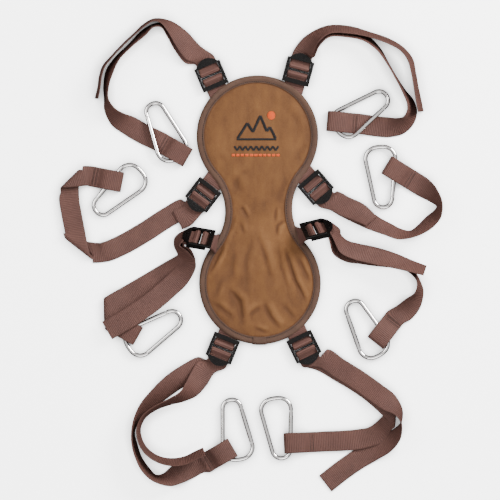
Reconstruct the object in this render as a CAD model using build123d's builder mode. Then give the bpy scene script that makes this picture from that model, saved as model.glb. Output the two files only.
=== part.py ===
"""Hourglass gear panel with webbing legs, ladder-lock buckles and carabiners.

The panel lies on the floor, back down. The frame's origin is the centre of the
panel's back face, +Y points to the panel's upper lobe and +Z away from the floor.
All sizes are in millimetres and all angles in degrees.
"""

from build123d import *
import math
import os

os.makedirs("parts", exist_ok=True)

# ---- panel ---------------------------------------------------------------
LOBE_RADIUS = 75.0
LOBE_OFFSET = 91.0  # lobe centre from the panel's centre
WAIST_RADIUS = 65.0  # radius of each concave side
PANEL_TURN = 1.0  # the panel lies turned a little on the floor
BINDING_WIDTH = 9.0
BINDING_HEIGHT = 5.2
COVER_THICKNESS = 1.0
FOAM_HEIGHT = 3.5
LAYER_GAP = 0.05
BINDING_GAP = 0.1

# ---- webbing -------------------------------------------------------------
WEBBING_WIDTH = 25.0
WEBBING_THICKNESS = 1.5
HALF_WIDTH = WEBBING_WIDTH / 2
HALF_THICKNESS = WEBBING_THICKNESS / 2
LOW_LAYER = 1.05  # height of the middle of a layer that lies on the floor
LOOP_SEWN = 37.0  # end of a sewn loop to the far end of its lower layer
SEWN_GAP = 0.1
FOLD_STEPS = 4
SEAM_LOWER = 1.6
SEAM_UPPER = 3.4
BARTACK_LENGTH = 7.0
BARTACK_WIDTH = 18.0

# ---- ladder-lock buckle, in its own plane: u outward, v across, w up -----
BUCKLE_END = 19.2  # middle to either end along u
BUCKLE_HALF_WIDTH = 17.0
SQUARE_UNTIL = 7.0  # u where the rounded tab starts
TAB_HALF_WIDTH = 9.5
WINDOW_HALF_WIDTH = 13.6
WINDOW_U = (-13.6, 9.5)
PLATE_BOTTOM = 5.0
PLATE_TOP = 7.6
RAIL_BOTTOM = 0.6
RAIL_U = (-12.5, 11.5)
BAR_RADIUS = 1.6
BAR_HEIGHT = 3.6
ANCHOR_BAR_U = -7.5
STRAP_BAR_U = 1.5
MIDDLE_BAR_WIDTH = 1.2  # bar between the two webbings, clear of both
MIDDLE_BAR_BOTTOM = 3.4
MIDDLE_BAR_TOP = 6.6
WRAP_RADIUS = BAR_RADIUS + 0.3 + HALF_THICKNESS
TAIL_LAYER = 3.0
EDGE_ROUNDING = 0.8
RIB_U = (12.2, 14.0, 15.8)  # grip ribs on the tab
RIB_LENGTH = 15.0

# ---- carabiner, in its own plane: u from the wide to the narrow end ------
WIRE_RADIUS = 2.5
CARABINER_LENGTH = 72.0  # along the wire's middle line
WIDE_HALF = 20.5
TAPER = 8.5  # lean of the spine and of the gate side
WIDE_BULGE = 3.0
CORNER_RADII = [14.6, 38.0, 14.6, 10.8, 10.8]
NOSE_SHOULDER = 15.5  # distances along the gate side from the wide corner
GATE_NOSE = 16.3
LATCH_PIN = 18.8
NOSE_TONGUE_END = 21.2
NOSE_SLOT_END = 22.2
SPRING_BOTTOM = 45.3
SPRING_TOP = 53.2
HINGE_SLOT_START = 53.5
RIVET = 57.0
GATE_HEEL = 59.7
HINGE_SHOULDER = 61.0
GATE_RADIUS = 2.7
TONGUE_HALF = 0.95
TONGUE_HALF_WIDTH = 2.2
SLOT_HALF = 1.15
PIN_RADIUS = 0.8
PIN_CLEARANCE = 0.05
LATCH_RADIUS = 0.7
LATCH_NOTCH = 0.85
SPRING_RADIUS = 0.95
SPRING_WIRE = 0.25
SPRING_PITCH = 1.5
BORE_RADIUS = 1.4


# ---- routes of the webbing -----------------------------------------------
# A station is (x, y, lift, tilt): the middle of the webbing, the height of its
# lower edge above the floor, and its roll, where 0 lies flat and a positive
# angle raises the edge that is on the left when walking outward.
# A fold is ("fold", x, y, arrival, departure, z, rise): the webbing doubles back
# over a slanted crease, between the headings arrival and departure; z is the
# height it arrives at and rise the step up or down to where it leaves.

LEGS = {
    "upper_left": {
        "buckle": (-59.7, 168.6, 0.0, 112.8, 0.0, 0.0),
        "seam": (-48.4, 141.9, 112.8),
        "main": [
            (-81, 189, 0.3, 8),
            (-97, 207, 0.3, 26),
            (-110, 221, 0.3, 56),
            (-120, 228, 0.3, 76),
            (-130, 227, 0.3, 80),
            (-142, 218, 0.3, 72),
            (-158, 203, 0.3, 78),
            (-174, 187, 0.3, 76),
            (-184, 170, 0.3, 68),
            (-188, 153, 0.3, 74),
            (-188, 137, 0.3, 78),
            (-184, 124, 0.3, 60),
            (-174, 112, 0.3, 34),
            (-160, 104, 0.3, 10),
            (-143, 94, 0.3, 0),
        ],
        "loop": (-87.5, 64.0, -30.0, 10.4),
        "tail": [
            (-80, 193, 2.3, 10),
            (-96, 212, 3.4, 30),
            (-109, 226, 3.6, 58),
            (-119, 233, 2.0, 76),
            (-130, 234, 0.6, 82),
            (-141, 228, 0.4, 82),
            (-151, 219, 0.4, 84),
            (-166, 205, 0.4, 84),
            (-182, 188, 0.4, 84),
            (-191, 177, 0.4, 82),
            (-195, 165, 0.4, 82),
            (-197, 151, 0.4, 82),
            (-200, 137, 0.4, 80),
        ],
        "carabiner": (-133.0, 133.1, 114.3, -1, 6.2, 4.5, -1.9),
    },
    "upper_right": {
        "buckle": (49.6, 174.4, 0.0, 75.0, 0.0, 0.0),
        "seam": (42.0, 145.9, 75.0),
        "main": [
            (61, 197, 0.3, -24),
            (71, 209, 0.3, -50),
            (86, 218, 0.3, -64),
            (109, 218, 0.3, -64),
            (131, 212, 0.3, -70),
            (148, 198, 0.3, -78),
            (159, 181, 0.3, -84),
            (170, 162, 0.3, -84),
            (180, 145, 0.3, -78),
            (187, 133, 0.3, -68),
            (189, 122, 0.3, -60),
            (185, 111, 0.3, -52),
            (175, 104, 0.3, -34),
            (161, 102, 0.3, -12),
            (146, 103, 0.3, 0),
        ],
        "loop": (84.4, 109.8, 174.8, 10.4),
        "tail": [
            (60, 201, 2.3, -26),
            (70, 213, 3.2, -52),
            (86, 222, 3.0, -64),
            (111, 222, 2.4, -67),
            (137, 216, 1.0, -74),
            (160, 208, 0.4, -74),
            (177, 198, 0.4, -76),
            (187, 185, 0.4, -74),
            (191, 169, 0.4, -76),
            (194, 152, 0.4, -76),
            (197, 136, 0.4, -74),
            (200, 121, 0.4, -74),
        ],
        "carabiner": (159.7, 142.9, 34.6, 1, 6.2, -4.5, -1.9),
    },
    "left_upper": {
        "buckle": (-70.7, 15.6, 0.0, 232.6, 0.0, 0.0),
        "seam": (-52.4, 39.6, 232.6),
        "main": [
            (-91, 2, 0.3, 0),
            (-112, -9, 0.3, 0),
            (-140, -27, 0.3, 0),
            (-170, -44, 0.3, 0),
            (-190, -52, 0.3, -10),
            (-203, -53, 0.3, 0),
            ("fold", -222, -48, 180.0, 104.0, 1.05, 6.0),
            (-227, -26, 5.6, 0),
            (-231, -5, 5.2, 0),
            (-234, 14, 4.8, 0),
            ("fold", -233, 38, 98.0, -9.0, 5.6, 5.6),
            (-213, 42, 7.6, 0),
        ],
        "loop": (-168.2, 33.8, -11.0, 9.2),
        "tail": [(-88, -7, 2.3, 0), (-98, -12, 2.2, 0), (-100, -13, 2.2, 0)],
        "carabiner": (-202.2, -4.2, -137.0, 1, 4.8, -3.0, -0.8),
    },
    "left_lower": {
        "buckle": (-75.4, -38.0, 14.4, 170.2, 50.0, -6.0),
        "seam": (-50.9, -42.2, 170.2),
        "main": [
            (-96, -40, 0.6, 66),
            (-96, -46, 0.4, 70),
            (-90, -51, 0.3, 60),
            (-86, -58, 0.3, 40),
            (-95, -67, 0.3, 14),
            (-112, -77, 0.3, 0),
            (-134, -90, 0.3, 0),
            (-158, -104, 0.5, 0),
            ("fold", -190.5, -124, 212.0, 330.0, 6.4, -5.0),
        ],
        "loop": (-148.7, -156.4, -29.5, 9.3),
        "tail": [
            (-96, -34, 3.0, 66),
            (-101, -43, 1.0, 74),
            (-94, -53, 1.0, 62),
            (-87, -64, 1.0, 40),
            (-95, -80, 2.4, 15),
            (-113, -98, 6.0, 4),
            (-133, -115, 9.5, 2),
            (-155, -130, 11.0, 2),
            (-173, -141, 11.0, 2),
            (-187, -149, 11.0, 2),
        ],
        "carabiner": (-95.5, -128.9, 32.0, -1, 4.8, 2.4, -0.8),
    },
    "right_upper": {
        "buckle": (72.8, 25.2, 0.0, -49.3, 0.0, 0.0),
        "seam": (53.1, 48.1, -49.3),
        "main": [
            (91, 12, 0.3, 0),
            (107, 3, 0.3, 0),
            (123, -5, 0.3, -8),
            (141, -16, 0.3, -38),
            (159, -24, 0.3, -50),
            (174, -30, 0.3, -58),
            (188, -30, 0.3, -70),
            (200, -24, 0.3, -62),
            (212, -14, 0.3, -54),
            (221, -4, 0.3, -66),
            (223, 6, 0.3, -74),
            (216, 17, 0.3, -50),
            (204, 27, 0.3, -20),
        ],
        "loop": (157.6, 55.8, 148.5, 9.6),
        "tail": [(93, 11, 2.3, 0), (107, 4, 2.3, -3), (123, -3, 3.0, -16), (139, -14, 4.0, -46)],
        "carabiner": (154.5, 0.9, -86.2, -1, 4.8, 3.0, -0.8),
    },
    "right_lower": {
        "buckle": (73.2, -27.4, 15.2, 13.6, -54.0, -8.0),
        "seam": (48.5, -32.6, 13.6),
        "main": [
            (91, -29, 0.8, -64),
            (92, -37, 0.4, -66),
            (96, -46, 0.3, -46),
            (109, -53, 0.3, -28),
            (127, -56, 0.3, -28),
            (145, -59, 0.3, -32),
            (161, -62, 0.3, -42),
            (175, -66, 0.3, -56),
            (188, -75, 0.3, -74),
            (197, -88, 0.3, -80),
            (198, -101, 0.3, -66),
            (191, -114, 0.3, -36),
            (179, -127, 0.3, -8),
        ],
        "loop": (143.9, -164.4, -128.4, 9.3),
        "tail": [
            (93, -24, 2.8, -64),
            (97, -34, 2.4, -64),
            (105, -45, 3.2, -46),
            (119, -51, 4.5, -36),
            (136, -55, 6.5, -32),
            (152, -59, 9.0, -34),
            (167, -63, 12.0, -42),
            (186, -69, 14.0, -54),
            (205, -75, 14.0, -60),
        ],
        "carabiner": (112.8, -111.4, 117.7, -1, 4.8, -3.0, -0.8),
    },
    "lower_left": {
        "buckle": (-45.8, -174.1, 0.0, 248.0, 0.0, 0.0),
        "seam": (-35.4, -148.1, 248.0),
        "main": [
            (-70, -193, 0.3, 0),
            (-88, -202, 0.3, -6),
            (-107, -214, 0.3, -20),
            (-126, -230, 0.3, -38),
            (-142, -246, 0.3, -56),
            (-151, -260, 0.3, -74),
            (-155, -275, 0.3, -82),
            (-153, -290, 0.3, -76),
            (-148, -306, 0.3, -74),
            (-139, -321, 0.3, -70),
            (-128, -331, 0.3, -72),
            (-114, -333, 0.3, -50),
            (-101, -327, 0.3, -16),
            (-86, -320, 0.3, 0),
            (-72, -313, 0.3, 0),
        ],
        "loop": (-31.9, -292.9, 30.5, 9.6),
        "tail": [
            (-64, -194, 2.3, 0),
            (-74, -209, 3.2, -8),
            (-83, -221, 4.0, -32),
            (-94, -230, 4.0, -58),
            (-110, -237, 3.0, -72),
            (-128, -245, 2.0, -78),
            (-142, -256, 1.0, -80),
            (-148, -270, 0.4, -80),
            (-146, -285, 0.4, -78),
            (-138, -298, 0.4, -76),
            (-125, -307, 1.0, -74),
            (-108, -311, 2.5, -70),
            (-91, -309, 4.5, -68),
            (-78, -303, 6.0, -68),
            (-67, -298, 6.5, -68),
        ],
        "carabiner": (-35.2, -231.9, 98.6, 1, 5.0, 1.0, -1.2),
    },
    "lower_right": {
        "buckle": (57.4, -172.3, 0.0, -64.0, 0.0, 0.0),
        "seam": (44.7, -146.2, -64.0),
        "main": [
            (77, -187, 0.3, 0),
            (100, -200, 0.6, 0),
            (122, -213, 2.4, 0),
            (144, -229, 5.2, 0),
            ("fold", 169, -253, -40.0, -150.0, 7.4, -3.8),
            (146, -277, 2.9, 0),
            (125, -283, 2.9, 0),
            (105, -285, 2.6, 0),
            (80, -286, 2.2, 0),
        ],
        "loop": (31.1, -288.2, 182.3, 9.8),
        "tail": [
            (78, -183, 2.3, 0),
            (100, -196, 2.9, 0),
            (124, -211, 5.0, 0),
            (145, -226, 8.2, -4),
            (161, -238, 8.2, -22),
            (173, -250, 3.0, -64),
            (176, -263, 0.4, -90),
            (171, -276, 0.3, -120),
            (159, -287, 0.3, -154),
            (142, -297, 0.3, -176),
            (123, -308, 0.3, -180),
            (104, -321, 0.3, -180),
            (82.3, -338, 0.3, -180),
        ],
        "carabiner": (29.6, -308.9, -82.5, -1, 5.0, 3.0, -0.8),
    },
}


def spin(angle):
    """Unit vector at an angle in the floor plane."""
    return Vector(math.cos(math.radians(angle)), math.sin(math.radians(angle)), 0)


def left_edge(travel, tilt):
    """Unit vector from the middle of the webbing to its left edge."""
    level = Vector(-travel.Y, travel.X, 0).normalized()
    raised = travel.cross(level)
    return level * math.cos(math.radians(tilt)) + raised * math.sin(math.radians(tilt))


def buckle_plane(x, y, lift, heading, tilt, pitch):
    """Plane of a ladder lock: x outward to the leg, z out of its top."""
    flat = spin(heading)
    outward = flat * math.cos(math.radians(pitch)) + Vector(0, 0, math.sin(math.radians(pitch)))
    across = left_edge(outward, tilt)
    return Plane(origin=(x, y, lift), x_dir=outward, z_dir=outward.cross(across))


def carabiner_plane(x, y, heading, side, height, roll, pitch):
    """Plane of a carabiner, from the place of its narrow tip."""
    flat = spin(heading)
    along = flat * math.cos(math.radians(pitch)) + Vector(0, 0, math.sin(math.radians(pitch)))
    across = left_edge(along, roll)
    foot = Vector(x, y, height) - flat * (CARABINER_LENGTH + WIRE_RADIUS)
    return Plane(origin=foot, x_dir=along, z_dir=along.cross(across))


def fold_sections(x, y, arrival, departure, low, rise):
    """Sections of webbing that doubles back over a slanted crease."""
    axis = (spin(arrival) + spin(departure)).normalized()
    outer = (spin(arrival) - spin(departure)).normalized()
    slant = spin(arrival).get_angle(axis)
    radius = abs(rise) / 2
    half = axis * (HALF_WIDTH / math.sin(math.radians(slant)))
    found = []
    for step in range(FOLD_STEPS + 1):
        angle = math.pi * step / FOLD_STEPS
        advance = radius * (angle - math.pi / 2) / math.tan(math.radians(slant))
        height = low + rise / 2 * (1 - math.cos(angle))
        spot = Vector(x, y, height) + axis * advance + outer * (radius * (math.sin(angle) - 1))
        found.append((spot, half))
    return found


def soft_sections(stations):
    """Middle points and half widths of the webbing along a list of stations."""
    places = []
    for station in stations:
        if station[0] == "fold":
            _, x, y, _, _, low, rise = station
            places.append(Vector(x, y, low + rise / 2))
            continue
        x, y, lift, tilt = station
        swing = abs(math.sin(math.radians(tilt)))
        level = math.sqrt(max(1 - swing**2, 0))
        places.append(Vector(x, y, lift + HALF_WIDTH * swing + HALF_THICKNESS * level))
    found = []
    for index, (station, place) in enumerate(zip(stations, places)):
        before = places[max(index - 1, 0)]
        after = places[min(index + 1, len(places) - 1)]
        if station[0] == "fold":
            found += fold_sections(*station[1:])
        else:
            travel = (after - before).normalized()
            found.append((place, left_edge(travel, station[3]) * HALF_WIDTH))
    return found


def aligned(sections):
    """The same sections, each with its half width on the same side as the last."""
    found = [sections[0]]
    for centre, half in sections[1:]:
        found.append((centre, half if half.dot(found[-1][1]) > 0 else half * -1))
    return found


def thread_sections(plane):
    """Sections of the strap round the buckle's strap bar, from leg side to tail."""
    path = [(16.0, LOW_LAYER), (8.0, LOW_LAYER)]
    for angle in (-90, -120, -150, 180, 150, 120, 90, 50):
        turn = math.radians(angle)
        path.append((STRAP_BAR_U + WRAP_RADIUS * math.cos(turn), BAR_HEIGHT + WRAP_RADIUS * math.sin(turn)))
    path += [(STRAP_BAR_U + 3.6, 3.9), (STRAP_BAR_U + 5.4, 3.15), (12.0, TAIL_LAYER), (18.0, TAIL_LAYER)]
    half = plane.y_dir * HALF_WIDTH
    return [(plane.from_local_coords(Vector(u, 0, w)), half) for u, w in path]


def loop_sections(x, y, heading, top):
    """Sections of the sewn loop, from the end of its lower layer to the leg."""
    sewn_top = LOW_LAYER + WEBBING_THICKNESS + SEWN_GAP
    path = [
        (LOOP_SEWN, LOW_LAYER),
        (28.0, LOW_LAYER),
        (5.0, LOW_LAYER),
        (1.9, 1.9),
        (0.8, 3.8),
        (1.0, top - 3.4),
        (2.6, top - 1.1),
        (6.0, top),
        (20.0, top - 0.3),
        (25.0, top - 2.4),
        (29.0, sewn_top + 1.2),
        (32.0, sewn_top),
        (LOOP_SEWN + 3.0, sewn_top),
    ]
    outward = spin(heading)
    half = Vector(-outward.Y, outward.X, 0) * HALF_WIDTH
    end = Vector(x, y, 0)
    return [(end - outward * inboard + Vector(0, 0, height), half) for inboard, height in path]


def ribbon_planes(sections):
    """Plane and width of each cross-section of a ribbon."""
    found = []
    for index, (centre, half) in enumerate(sections):
        before = sections[max(index - 1, 0)][0]
        after = sections[min(index + 1, len(sections) - 1)][0]
        normal = (after - before).cross(half)
        found.append((Plane(origin=centre, x_dir=half, z_dir=half.cross(normal)), half.length * 2))
    return found


def gate_line(side, distance):
    """Point on the gate side, at a distance from the wide corner."""
    lean = math.radians(TAPER)
    return (distance * math.cos(lean), -side * (WIDE_HALF - distance * math.sin(lean)))


def gate_plane(plane, side, distance):
    """Plane on the gate side: x to the hinge, y to the spine, z up or down."""
    u, v = gate_line(side, distance)
    lean = math.radians(TAPER)
    along = plane.x_dir * math.cos(lean) + plane.y_dir * (side * math.sin(lean))
    return Plane(origin=plane.from_local_coords(Vector(u, v, 0)), x_dir=along, z_dir=plane.z_dir * side)


def outline(inset):
    """Hourglass outline of the panel, moved inward by an inset."""
    radius = LOBE_RADIUS - inset
    waist = WAIST_RADIUS + inset
    reach = math.sqrt((LOBE_RADIUS + WAIST_RADIUS) ** 2 - LOBE_OFFSET**2)
    touch = radius / (radius + waist)
    side_x = reach * touch
    side_y = LOBE_OFFSET * (1 - touch)
    with BuildLine() as line:
        ThreePointArc((side_x, side_y), (0, LOBE_OFFSET + radius), (-side_x, side_y))
        ThreePointArc((-side_x, side_y), (-(reach - waist), 0), (-side_x, -side_y))
        ThreePointArc((-side_x, -side_y), (0, -LOBE_OFFSET - radius), (side_x, -side_y))
        ThreePointArc((side_x, -side_y), (reach - waist, 0), (side_x, side_y))
    return line.line


def panel_plane(height):
    """Floor plane at a height, turned the way the panel lies."""
    return Plane(origin=(0, 0, height), x_dir=spin(PANEL_TURN), z_dir=(0, 0, 1))


# ---- panel pieces --------------------------------------------------------
with BuildPart() as edge_binding:
    with BuildSketch(panel_plane(0)):
        with BuildLine():
            add(outline(0))
        make_face()
        with BuildLine():
            add(outline(BINDING_WIDTH))
        make_face(mode=Mode.SUBTRACT)
    extrude(amount=BINDING_HEIGHT)
    fillet(edge_binding.edges().group_by(Axis.Z)[-1], radius=1.4)
edge_binding.part.label = "edge_binding"
export_step(edge_binding.part, "parts/edge_binding.step")

PANEL_LAYERS = {
    "back_cover": (0.0, COVER_THICKNESS),
    "foam_pad": (COVER_THICKNESS + LAYER_GAP, FOAM_HEIGHT),
    "front_cover": (COVER_THICKNESS + FOAM_HEIGHT + 2 * LAYER_GAP, COVER_THICKNESS),
}
for name, (base, thickness) in PANEL_LAYERS.items():
    with BuildPart() as layer:
        with BuildSketch(panel_plane(base)):
            with BuildLine():
                add(outline(BINDING_WIDTH + BINDING_GAP))
            make_face()
        extrude(amount=thickness)
    layer.part.label = name
    export_step(layer.part, f"parts/{name}.step")


# ---- one leg: anchor loop, buckle, strap, carabiner ----------------------
for place, leg in LEGS.items():
    buckle_at = buckle_plane(*leg["buckle"])
    side = leg["carabiner"][3]
    carabiner_at = carabiner_plane(*leg["carabiner"])

    with BuildPart() as anchor_loop:
        x, y, heading = leg["seam"]
        seam_half = left_edge(spin(heading), 0) * HALF_WIDTH
        path = [(-17.0, LOW_LAYER), (-12.0, LOW_LAYER)]
        for angle in (-90, -60, -30, 0, 30, 60, 90, 130):
            turn = math.radians(angle)
            reach, height = WRAP_RADIUS * math.cos(turn), WRAP_RADIUS * math.sin(turn)
            path.append((ANCHOR_BAR_U + reach, BAR_HEIGHT + height))
        path += [(ANCHOR_BAR_U - 3.6, 3.9), (ANCHOR_BAR_U - 5.4, 3.05), (-17.0, 2.8)]
        wrap = [(buckle_at.from_local_coords(Vector(u, 0, w)), buckle_at.y_dir * HALF_WIDTH) for u, w in path]
        wrap.insert(0, (Vector(x, y, SEAM_LOWER), seam_half))
        wrap.append((Vector(x, y, SEAM_UPPER), seam_half))
        for plane, width in ribbon_planes(wrap):
            with BuildSketch(plane):
                Rectangle(width, WEBBING_THICKNESS)
        loft(ruled=True)
    anchor_loop.part.label = f"anchor_loop_{place}"
    export_step(anchor_loop.part, f"parts/anchor_loop_{place}.step")

    with BuildPart() as buckle:
        with BuildSketch(buckle_at.offset(PLATE_BOTTOM)):
            with BuildLine():
                Polyline(
                    (SQUARE_UNTIL, BUCKLE_HALF_WIDTH),
                    (-BUCKLE_END, BUCKLE_HALF_WIDTH),
                    (-BUCKLE_END, -BUCKLE_HALF_WIDTH),
                    (SQUARE_UNTIL, -BUCKLE_HALF_WIDTH),
                )
                ThreePointArc(
                    (SQUARE_UNTIL, -BUCKLE_HALF_WIDTH),
                    (BUCKLE_END - 3.4, -TAB_HALF_WIDTH),
                    (BUCKLE_END, 0),
                )
                ThreePointArc(
                    (BUCKLE_END, 0),
                    (BUCKLE_END - 3.4, TAB_HALF_WIDTH),
                    (SQUARE_UNTIL, BUCKLE_HALF_WIDTH),
                )
            make_face()
            with Locations((sum(WINDOW_U) / 2, 0)):
                Rectangle(WINDOW_U[1] - WINDOW_U[0], 2 * WINDOW_HALF_WIDTH, mode=Mode.SUBTRACT)
        extrude(amount=PLATE_TOP - PLATE_BOTTOM)
        top = [
            edge
            for edge in buckle.edges()
            if (edge.center() - buckle_at.origin).dot(buckle_at.z_dir) > PLATE_TOP - 0.01
            and edge.geom_type == GeomType.LINE
        ]
        fillet(top, radius=EDGE_ROUNDING)
        with BuildSketch(buckle_at.offset(PLATE_TOP - 0.1)):
            with Locations(*[(u, 0) for u in RIB_U]):
                Rectangle(0.8, RIB_LENGTH)
        extrude(amount=0.5)
        with BuildSketch(buckle_at.offset(RAIL_BOTTOM)):
            middle = (WINDOW_HALF_WIDTH + BUCKLE_HALF_WIDTH) / 2
            with Locations((sum(RAIL_U) / 2, middle), (sum(RAIL_U) / 2, -middle)):
                Rectangle(RAIL_U[1] - RAIL_U[0], BUCKLE_HALF_WIDTH - WINDOW_HALF_WIDTH)
        extrude(amount=PLATE_BOTTOM - RAIL_BOTTOM)
        with BuildSketch(buckle_at.offset(MIDDLE_BAR_BOTTOM)):
            with Locations(((ANCHOR_BAR_U + STRAP_BAR_U) / 2, 0)):
                Rectangle(MIDDLE_BAR_WIDTH, 2 * WINDOW_HALF_WIDTH + 2)
        extrude(amount=MIDDLE_BAR_TOP - MIDDLE_BAR_BOTTOM)
        for bar_u in (ANCHOR_BAR_U, STRAP_BAR_U):
            start = buckle_at.from_local_coords(Vector(bar_u, -WINDOW_HALF_WIDTH - 1, BAR_HEIGHT))
            with BuildSketch(Plane(origin=start, x_dir=buckle_at.x_dir, z_dir=buckle_at.y_dir)):
                Circle(BAR_RADIUS)
            extrude(amount=2 * WINDOW_HALF_WIDTH + 2)
    buckle.part.label = f"buckle_{place}"
    export_step(buckle.part, f"parts/buckle_{place}.step")

    with BuildPart() as strap:
        main = soft_sections(leg["main"])[::-1]
        tail = soft_sections(leg["tail"])
        loop = loop_sections(*leg["loop"])
        run = aligned(loop + main + thread_sections(buckle_at) + tail)
        for plane, width in ribbon_planes(run):
            with BuildSketch(plane):
                Rectangle(width, WEBBING_THICKNESS)
        loft(ruled=True)
        x, y, heading, _ = leg["loop"]
        tack = Vector(x, y, 0) - spin(heading) * (LOOP_SEWN - 1 - BARTACK_LENGTH / 2)
        with BuildSketch(Plane(origin=tack + Vector(0, 0, LOW_LAYER), x_dir=spin(heading), z_dir=(0, 0, 1))):
            Rectangle(BARTACK_LENGTH, BARTACK_WIDTH)
        extrude(amount=WEBBING_THICKNESS + SEWN_GAP)
    strap.part.label = f"strap_{place}"
    export_step(strap.part, f"parts/strap_{place}.step")
    print(place, "strap", len(run), "sections", strap.part.is_valid, round(strap.part.volume))

    with BuildPart() as carabiner:
        wide_u = -WIDE_BULGE
        far_half = WIDE_HALF - CARABINER_LENGTH * math.tan(math.radians(TAPER))
        corners = [
            gate_line(side, NOSE_SHOULDER),
            (0, -side * WIDE_HALF),
            (wide_u, 0),
            (0, side * WIDE_HALF),
            (CARABINER_LENGTH, side * far_half),
            (CARABINER_LENGTH, -side * far_half),
            gate_line(side, HINGE_SHOULDER),
        ]
        with BuildLine(carabiner_at) as wire:
            FilletPolyline(*corners, radius=CORNER_RADII)
        with BuildSketch(Plane(origin=wire.line @ 0, z_dir=wire.line % 0)):
            Circle(WIRE_RADIUS)
        sweep()
        nose = gate_plane(carabiner_at, side, LATCH_PIN)
        with BuildSketch(nose.offset(-TONGUE_HALF)):
            with BuildLine():
                Polyline(
                    (NOSE_SHOULDER - LATCH_PIN - 0.5, -TONGUE_HALF_WIDTH),
                    (NOSE_TONGUE_END - LATCH_PIN, -TONGUE_HALF_WIDTH),
                    (NOSE_TONGUE_END - LATCH_PIN, PIN_RADIUS),
                    (NOSE_SHOULDER - LATCH_PIN - 0.5, PIN_RADIUS),
                    close=True,
                )
            make_face()
            Circle(LATCH_NOTCH, mode=Mode.SUBTRACT)
            with Locations((0, LATCH_NOTCH)):
                Rectangle(2 * LATCH_NOTCH, 2 * LATCH_NOTCH, mode=Mode.SUBTRACT)
        extrude(amount=2 * TONGUE_HALF)
        with BuildSketch(gate_plane(carabiner_at, side, RIVET).offset(-TONGUE_HALF)):
            Circle(TONGUE_HALF_WIDTH)
            with Locations(((HINGE_SHOULDER - RIVET) / 2 + 0.25, 0)):
                Rectangle(HINGE_SHOULDER - RIVET + 0.5, 2 * TONGUE_HALF_WIDTH)
            Circle(PIN_RADIUS + PIN_CLEARANCE, mode=Mode.SUBTRACT)
        extrude(amount=2 * TONGUE_HALF)
    carabiner.part.label = f"carabiner_{place}"
    export_step(carabiner.part, f"parts/carabiner_{place}.step")

    start = gate_plane(carabiner_at, side, GATE_NOSE)
    with BuildPart() as gate:
        with BuildSketch(Plane(origin=start.origin, x_dir=start.y_dir, z_dir=start.x_dir)):
            Circle(GATE_RADIUS)
        extrude(amount=GATE_HEEL - GATE_NOSE)
        for low, high in ((GATE_NOSE - 1, NOSE_SLOT_END), (HINGE_SLOT_START, GATE_HEEL + 1)):
            with BuildSketch(gate_plane(carabiner_at, side, low).offset(-SLOT_HALF)):
                with Locations(((high - low) / 2, 0)):
                    Rectangle(high - low, 4 * GATE_RADIUS)
            extrude(amount=2 * SLOT_HALF, mode=Mode.SUBTRACT)
        bore = gate_plane(carabiner_at, side, SPRING_BOTTOM - 0.2)
        with BuildSketch(Plane(origin=bore.origin, x_dir=bore.y_dir, z_dir=bore.x_dir)):
            Circle(BORE_RADIUS)
        extrude(amount=HINGE_SLOT_START - SPRING_BOTTOM + 0.4, mode=Mode.SUBTRACT)
        for distance, radius in ((RIVET, PIN_RADIUS), (LATCH_PIN, LATCH_RADIUS)):
            with BuildSketch(gate_plane(carabiner_at, side, distance).offset(-GATE_RADIUS)):
                Circle(radius)
            extrude(amount=2 * GATE_RADIUS, mode=Mode.SUBTRACT)
    gate.part.label = f"gate_{place}"
    export_step(gate.part, f"parts/gate_{place}.step")

    with BuildPart() as gate_pins:
        for distance, radius in ((RIVET, PIN_RADIUS), (LATCH_PIN, LATCH_RADIUS)):
            with BuildSketch(gate_plane(carabiner_at, side, distance).offset(-GATE_RADIUS + 0.1)):
                Circle(radius)
            extrude(amount=2 * GATE_RADIUS - 0.2)
    gate_pins.part.label = f"gate_pins_{place}"
    export_step(gate_pins.part, f"parts/gate_pins_{place}.step")

    with BuildPart() as gate_spring:
        foot = gate_plane(carabiner_at, side, SPRING_BOTTOM + SPRING_WIRE)
        coil_at = Plane(origin=foot.origin, x_dir=foot.y_dir, z_dir=foot.x_dir)
        with BuildLine() as coil:
            Helix(
                SPRING_PITCH,
                SPRING_TOP - SPRING_BOTTOM - 2 * SPRING_WIRE,
                SPRING_RADIUS,
                center=coil_at.origin,
                direction=coil_at.z_dir,
            )
        with BuildSketch(Plane(origin=coil.line @ 0, z_dir=coil.line % 0)):
            Circle(SPRING_WIRE)
        sweep(is_frenet=True)
    gate_spring.part.label = f"gate_spring_{place}"
    export_step(gate_spring.part, f"parts/gate_spring_{place}.step")
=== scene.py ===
"""Looks for the hourglass webbing harness panel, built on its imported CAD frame.

Route points are in millimetres, as in the part's own source, and turned into metres
when a mesh is made.
"""

import math
import random

import bpy
import numpy as np
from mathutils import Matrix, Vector
from mathutils.bvhtree import BVHTree


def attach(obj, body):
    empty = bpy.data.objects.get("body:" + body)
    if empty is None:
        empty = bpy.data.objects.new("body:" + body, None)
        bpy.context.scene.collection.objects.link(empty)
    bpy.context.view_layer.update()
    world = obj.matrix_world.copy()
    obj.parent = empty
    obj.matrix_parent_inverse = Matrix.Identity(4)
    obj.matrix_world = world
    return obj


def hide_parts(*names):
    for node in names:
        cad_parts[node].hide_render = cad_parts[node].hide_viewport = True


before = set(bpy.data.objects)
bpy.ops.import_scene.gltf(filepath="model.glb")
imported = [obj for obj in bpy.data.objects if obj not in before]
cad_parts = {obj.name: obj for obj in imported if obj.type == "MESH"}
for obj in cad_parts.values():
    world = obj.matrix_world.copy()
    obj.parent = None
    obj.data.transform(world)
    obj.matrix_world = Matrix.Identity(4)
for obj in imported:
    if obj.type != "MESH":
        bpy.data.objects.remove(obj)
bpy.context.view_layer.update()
MM = 0.001
random.seed(7)

# ---- camera and light ----------------------------------------------------
VIEW_CENTRE = (-0.0107, -0.0496)
VIEW_SIZE = 0.6175
CAMERA_HEIGHT = 8.0


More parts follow.
